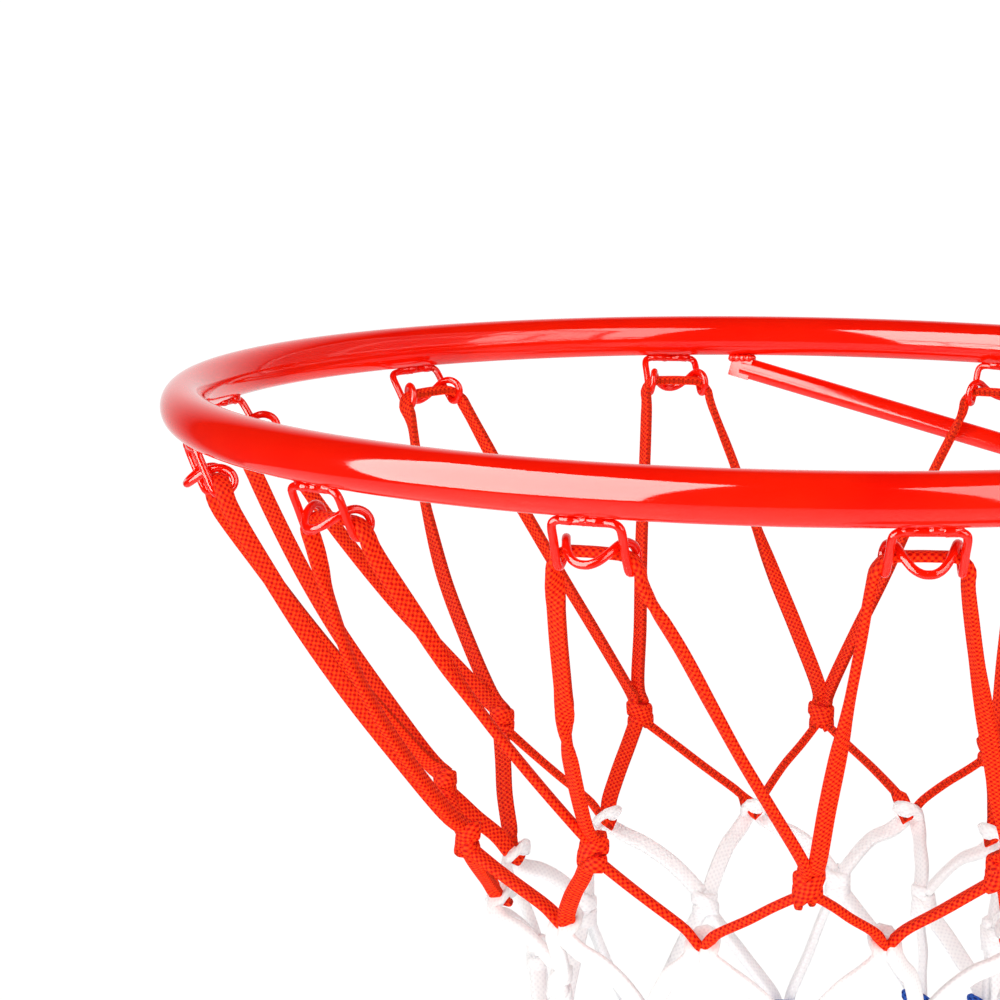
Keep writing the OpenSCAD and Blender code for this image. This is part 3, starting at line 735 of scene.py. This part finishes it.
def brace_welds(mesh, low, high, plate_y):
    """Two beads along a brace's block under the ring, and one round its foot on the plate."""
    side = 1 if high.x > 0 else -1
    block_x = high.x if side > 0 else low.x
    head = Vector((block_x - side * BLOCK_IN * MM, low.y, RING.z - BAR_R - BLOCK_UNDER * MM))
    foot = Vector((side * FOOT_X * MM, plate_y, low.z + FOOT_UP * MM))
    way = Vector((foot.x - head.x, foot.y - head.y, 0)).normalized()
    for shift in (-BLOCK_HALF, BLOCK_HALF):
        spot = head + UP.cross(way) * (shift * MM)
        ends = [spot + way * BLOCK_START * MM, spot + way * BLOCK_END * MM]
        bead(mesh, ends, BLOCK_BEAD, 7 + side + shift)
    circle = []
    for k in range(FOOT_POINTS + 1):
        angle = 2 * math.pi * k / FOOT_POINTS
        circle.append(foot + Vector((math.cos(angle), 0, math.sin(angle))) * FOOT_R * MM)
    bead(mesh, circle, FOOT_BEAD, 12 + side)


def build_welds():
    mesh = Mesh()
    plate_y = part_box("rim_plate")[0].y
    neck_low, neck_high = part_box("rim_neck")
    neck_welds(mesh, neck_high.z)
    plate_welds(mesh, neck_low, neck_high, plate_y)
    for node in ("brace_left", "brace_right"):
        brace_welds(mesh, *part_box(node), plate_y)
    mesh.finish("weld_beads", RED, "head", "powder_red")


build_ring()
build_hooks()
build_welds()

# ---------------------------------------------------------------- net: places of knots and crossings

# How much lower a knot hangs in mm for each degree of drift
DRIFT_DEPTH = 1.5
# The top rows of knots and of crossings: (angle from +X, radius in mm, depth under the ring in mm)
ROW_K1 = [(49, 137, 155), (76, 137, 154), (103, 137, 157), (126.6, 137, 162), (159.4, 137, 156),
          (193.4, 137, 154), (225.5, 137, 147), (249, 137, 161), (287, 137, 159), (316.5, 137, 148),
          (349.8, 137, 153), (380.2, 137, 152)]
ROW_V2 = [(35, 112, 186), (63, 112, 187), (90, 112, 188), (115, 112, 187), (138, 112, 186), (172.3, 112, 190),
          (207.8, 112, 188), (241.5, 112, 189), (268, 112, 192), (300.8, 112, 185), (331.6, 112, 182),
          (365.5, 112, 180)]


def knots_between(row, radius, depth, drift):
    """A row of knots halfway between the places of the row above, moved by drift in degrees."""
    made = []
    for k in range(COUNT):
        here = row[k][0]
        there = row[(k + 1) % COUNT][0]
        while there < here:
            there += 360
        lower = DRIFT_DEPTH * drift[(k + 3) % len(drift)]
        made.append(((here + there) / 2 + drift[k % len(drift)], radius, depth + lower))
    return made


def crossings_between(row, radius, depth, drift):
    """A row of crossings halfway between the knots above, one place back."""
    made = knots_between(row, radius, depth, drift)
    angle, radius, depth = made.pop()
    return [(angle - 360, radius, depth)] + made


# The lower rows follow from the top ones, apart from the places that stand further round or higher
ROW_K3 = knots_between(ROW_V2, 97, 223, (1.2, -1.6, 0.4, 1.8, -0.6))
ROW_K3[4:6] = [(151.8, 97, 219), (185.6, 97, 229)]
ROW_V4 = crossings_between(ROW_K3, 91, 268, (-1.0, 1.4, 0.2, -1.5, 0.9))
ROW_V4[3:7] = [(101, 91, 251), (127, 91, 260), (165, 91, 273), (205, 91, 279)]
ROW_K5 = knots_between(ROW_V4, 88, 307, (1.5, -0.8, -1.4, 0.9, 0.3))
ROW_V6 = crossings_between(ROW_K5, 86, 350, (0.8, -1.2, 1.0, -0.3, 0.6))

# ---------------------------------------------------------------- net: cords

CORD = flat_section(6.7 * MM, 3.7 * MM)
KNOT_CORD = flat_section(5.9 * MM, 2.8 * MM)
CORD_STEP = 2.2 * MM
KNOT_STEP = 1.5 * MM
# Sideways waver of every strand, outward bow of a short one, and lift of an arch's sides, in mm
STRAND_WAVER = 1.3
SHORT_BOW = 0.5
ARCH_LIFT = 3.5

# Half of a red cord's way through a hook's two eyes in mm: along the ring, inwards, and up
EYE_HALF = [(15.6, 16.4, -22), (14.6, 12.2, -14.6), (10.8, 10.8, -10.8), (4, 10.2, -10.2)]
# Half of a V's bottom and of an arch's top in mm along the ring, outwards and up: places that run on
# towards the knot, with their reach, then places round the crossing, then the middle
V_REACHED = [((1.2, 1.4, -0.4), 9.5), ((1.5, 1.9, -0.6), 4.2)]
V_ROUND = [(1.9, 1.5, -2.0)]
V_MIDDLE = (0, -1.6, -4.8)
ARCH_REACHED = [((2.6, 2.6, -4.6), 9)]
ARCH_ROUND = [(3.0, 3.2, -6.2), (3.2, 1.0, -2.4), (2.3, -3.2, -0.2)]
ARCH_MIDDLE = (0, -4.6, 0.3)

# Outward bow in mm of a loop's two strands, before its hook and after it, by the number of the hook
STRAND_BOWS = {6: (2.5, 8), 7: (6, 6), 8: (3, 4.5), 9: (9, 4.5), 10: (5.5, 0.8), 11: (0.8, -3)}
USUAL_BOWS = (0.8, 0.8)
# How far the flat side turns from facing out, in degrees: at the knot before, at each side of the hook,
# and at the knot after
HOOK_TWISTS = {5: (15, 75, 80, 75), 6: (95, 100, 125, 95), 7: (160, 172, 60, 50), 8: (90, 90, 92, 100),
               9: (145, 140, 112, 50), 10: (168, -4, 52, 66), 11: (20, 75, 85, 40)}
EYE_TWIST = 88
# The same for the red cords that hang as a V: at the knot before, at the bottom, at the knot after
V_TWISTS = {4: (80, 20, 108), 5: (98, 15, 92), 6: (48, 60, 70), 7: (80, 130, 150)}
V_BOTTOM_TWIST = 70

# Height of a knot in mm by colour
RED_KNOT = 14
WHITE_KNOT = 15
BLUE_KNOT = 12
# Wraps of a knot: height as a share of the knot's, tilt, mm that they stand out, and degrees that they turn
KNOT_WRAPS = [(0.18, 0.3, 0, 430), (-0.18, -0.34, 0, 430), (0, 1.15, 0.6, 300)]
WRAP_POINTS = 13
# Wraps in mm: half width along the ring, half depth, and height of a tilt of 1; then their climb as a
# share of the knot's height, and the degrees from the start of one wrap to the start of the next
WRAP_HALF = 4.3
WRAP_DEEP = 3.0
WRAP_TILT = 3.6
WRAP_CLIMB = 0.28
WRAP_PHASE = 150
# A wrap's ends tuck in: from this share of half its length on, down to half its width
TUCK_START = 0.72
# The core of a knot: half width and half depth in mm, half height as a share of the knot's, unevenness
CORE_HALF = 3.9
CORE_DEEP = 3.1
CORE_TALL = 0.42
CORE_ROUGH = 0.1


def net_point(spot, x=0.0, out=0.0, up=0.0):
    """A place near a knot, in mm along the ring, outwards and up."""
    angle, radius, depth = spot
    return (RING + radial(angle) * ((radius + out) * MM) + around(angle) * (x * MM)
            + UP * ((up - depth) * MM))


def twisted_normals(path, turns):
    """Flat side faces out at 0 degrees and along the ring at 90; turns lists (share of length, degrees)."""
    lengths = [0.0]
    for k in range(1, len(path)):
        lengths.append(lengths[-1] + (path[k] - path[k - 1]).length)
    made = []
    for spot, way, length in zip(path, directions(path, False), lengths):
        share = length / lengths[-1]
        angle = turns[-1][1]
        for (start, first), (end, second) in zip(turns, turns[1:]):
            if share <= end:
                t = max(0.0, min(1.0, (share - start) / max(1e-6, end - start)))
                angle = first + (second - first) * t * t * (3 - 2 * t)
                break
        out = spot - RING
        out.z = 0
        out = (out - way * out.dot(way)).normalized()
        angle = math.radians(angle)
        made.append(out * math.cos(angle) + way.cross(out) * math.sin(angle))
    return made


def cord(mesh, points, turns):
    """A flat cord through the points, twisted as turns says."""
    path = smooth_path(points, CORD_STEP)
    sweep(mesh, path, CORD, twisted_normals(path, turns))


def straight(start, end, bow, seed, parts, lift=0.0):
    """Points between two places with an outward bow, an upward lift and a slight sideways waver, in mm."""
    made = []
    for k in range(1, parts + 1):
        t = k / (parts + 1)
        spot = start.lerp(end, t)
        out = Vector((spot.x - RING.x, spot.y - RING.y, 0)).normalized()
        side = UP.cross(out)
        waver = STRAND_WAVER * noise.noise(Vector((seed * 3.7, t * 2.3, 0)))
        swell = math.sin(math.pi * t) * MM
        made.append(spot + out * (bow * swell) + UP * (lift * swell) + side * (waver * MM))
    return made


def toward(spot, knot_at, side, base, reach):
    """A place that starts beside a crossing, at base in mm, and runs reach mm towards a knot."""
    turn = math.radians(knot_at[0] - spot[0])
    turn = math.atan2(math.sin(turn), math.cos(turn))
    along = turn * (spot[1] + knot_at[1]) / 2
    way = Vector((along, knot_at[1] - spot[1], spot[2] - knot_at[2])).normalized()
    x, out, up = base
    return net_point(spot, side * x + way.x * reach, out + way.y * reach, up + way.z * reach)


def crossing(spot, left, right, reached, rounded, middle):
    """A cord's places at a crossing, from the side of its left knot to the side of its right one."""
    sides = []
    for side, knot_at in ((-1, left), (1, right)):
        sides.append([toward(spot, knot_at, side, base, reach) for base, reach in reached]
                     + [net_point(spot, side * x, out, up) for x, out, up in rounded])
    return sides[0] + [net_point(spot, *middle)] + sides[1][::-1]


def hook_loop(mesh, index, chance):
    """One red loop: from the knot before a hook, through both of its eyes, to the knot after it."""
    before, after = ROW_K1[index - 1], ROW_K1[index]
    start, end = net_point(before, 1.4, 0, 4), net_point(after, -1.4, 0, 4)
    rise, drop = net_point(before, 2.6, 8.5, 11), net_point(after, -2.6, 8.5, 11)
    over = mirrored_points(HOOKS[index], EYE_HALF, False)
    bows = STRAND_BOWS.get(index, USUAL_BOWS)
    left = straight(rise, over[0], bows[0], index, 4)
    right = straight(over[-1], drop, bows[1], index + 50, 4)
    usual = (chance.uniform(20, 60), chance.uniform(60, 85), chance.uniform(60, 85), chance.uniform(20, 60))
    low_before, high_before, high_after, low_after = HOOK_TWISTS.get(index, usual)
    cord(mesh, [start, rise] + left + over + right + [drop, end],
         [(0, low_before), (0.15, low_before), (0.28, high_before), (0.38, high_before), (0.44, EYE_TWIST),
          (0.56, EYE_TWIST), (0.6, high_after), (0.66, high_after), (0.8, low_after), (1, low_after)])


def hanging_v(mesh, left, low, right, chance, twists=None):
    """A cord that hangs as a V from two knots and is pulled down by the next colour at its bottom."""
    start, end = net_point(left, 1.5, 0, -3), net_point(right, -1.5, 0, -3)
    bottom = crossing(low, left, right, V_REACHED, V_ROUND, V_MIDDLE)
    seed = chance.random() * 40
    before, middle, after = twists or (chance.uniform(52, 88), V_BOTTOM_TWIST, chance.uniform(52, 88))
    down = straight(start, bottom[0], SHORT_BOW, seed, 2)
    up = straight(bottom[-1], end, SHORT_BOW, seed + 9, 2)
    cord(mesh, [start] + down + bottom + up + [end],
         [(0, before), (0.46, before), (0.49, middle), (0.51, middle), (0.54, after), (1, after)])


def arch(mesh, left, high, right, chance):
    """A cord that rises from two knots and passes round the bottom of the colour above."""
    start, end = net_point(left, 1.5, 0, 4), net_point(right, -1.5, 0, 4)
    top = crossing(high, left, right, ARCH_REACHED, ARCH_ROUND, ARCH_MIDDLE)
    seed = chance.random() * 40
    before, after = chance.uniform(-20, 50), chance.uniform(-20, 50)
    up = straight(start, top[0], SHORT_BOW, seed, 2, ARCH_LIFT)
    down = straight(top[-1], end, SHORT_BOW, seed + 9, 2, ARCH_LIFT)
    cord(mesh, [start] + up + top + down + [end],
         [(0, before), (0.25, before), (0.42, 30), (0.5, 0), (0.58, -30), (0.75, after), (1, after)])


def knot(mesh, spot, tall, chance):
    """Overhand knot: the cord wrapped round itself and tucked in."""
    flip = chance.choice((-1, 1))
    phase = chance.uniform(0, 360)
    centre = net_point(spot)
    for shift, tilt, over, turn in KNOT_WRAPS:
        points = []
        for k in range(WRAP_POINTS):
            t = k / (WRAP_POINTS - 1)
            angle = math.radians(phase + turn * t) * flip
            tuck = max(0.0, abs(t - 0.5) * 2 - TUCK_START) / (1 - TUCK_START)
            wide = 1 - 0.5 * tuck
            height = tall * (shift + WRAP_CLIMB * (t - 0.5)) + WRAP_TILT * tilt * math.cos(angle)
            points.append(net_point(spot, (WRAP_HALF + over) * wide * math.cos(angle),
                                    (WRAP_DEEP + over) * wide * math.sin(angle), height))
        path = smooth_path(points, KNOT_STEP)
        normals = [Vector((place.x - centre.x, place.y - centre.y, 0)).normalized() for place in path]
        sweep(mesh, path, KNOT_CORD, normals)
        phase += WRAP_PHASE
    core = (around(spot[0]) * CORE_HALF * MM, radial(spot[0]) * CORE_DEEP * MM, UP * tall * CORE_TALL * MM)
    lump(mesh, centre, core, phase, rough=CORE_ROUGH)


def build_net():
    """Red from the hooks, then white and blue, each hung round the crossings of the colour above."""
    chance = random.Random(11)
    red, white, blue = Mesh(), Mesh(), Mesh()
    lower = ((white, ROW_V2, ROW_K3, ROW_V4, WHITE_KNOT), (blue, ROW_V4, ROW_K5, ROW_V6, BLUE_KNOT))
    for k in range(COUNT):
        hook_loop(red, k, chance)
        hanging_v(red, ROW_K1[k - 1], ROW_V2[k], ROW_K1[k], chance, V_TWISTS.get(k))
        knot(red, ROW_K1[k], RED_KNOT, chance)
        for mesh, above, knots, below, tall in lower:
            arch(mesh, knots[k - 1], above[k], knots[k], chance)
            hanging_v(mesh, knots[k - 1], below[k], knots[k], chance)
            knot(mesh, knots[k], tall, chance)
    red.finish("net_cord_red", CORD_RED, "head", "cord_red", "net_red")
    white.finish("net_cord_white", CORD_WHITE, "head", "cord_white", "net_white")
    blue.finish("net_cord_blue", CORD_BLUE, "head", "cord_blue", "net_blue")


build_net()
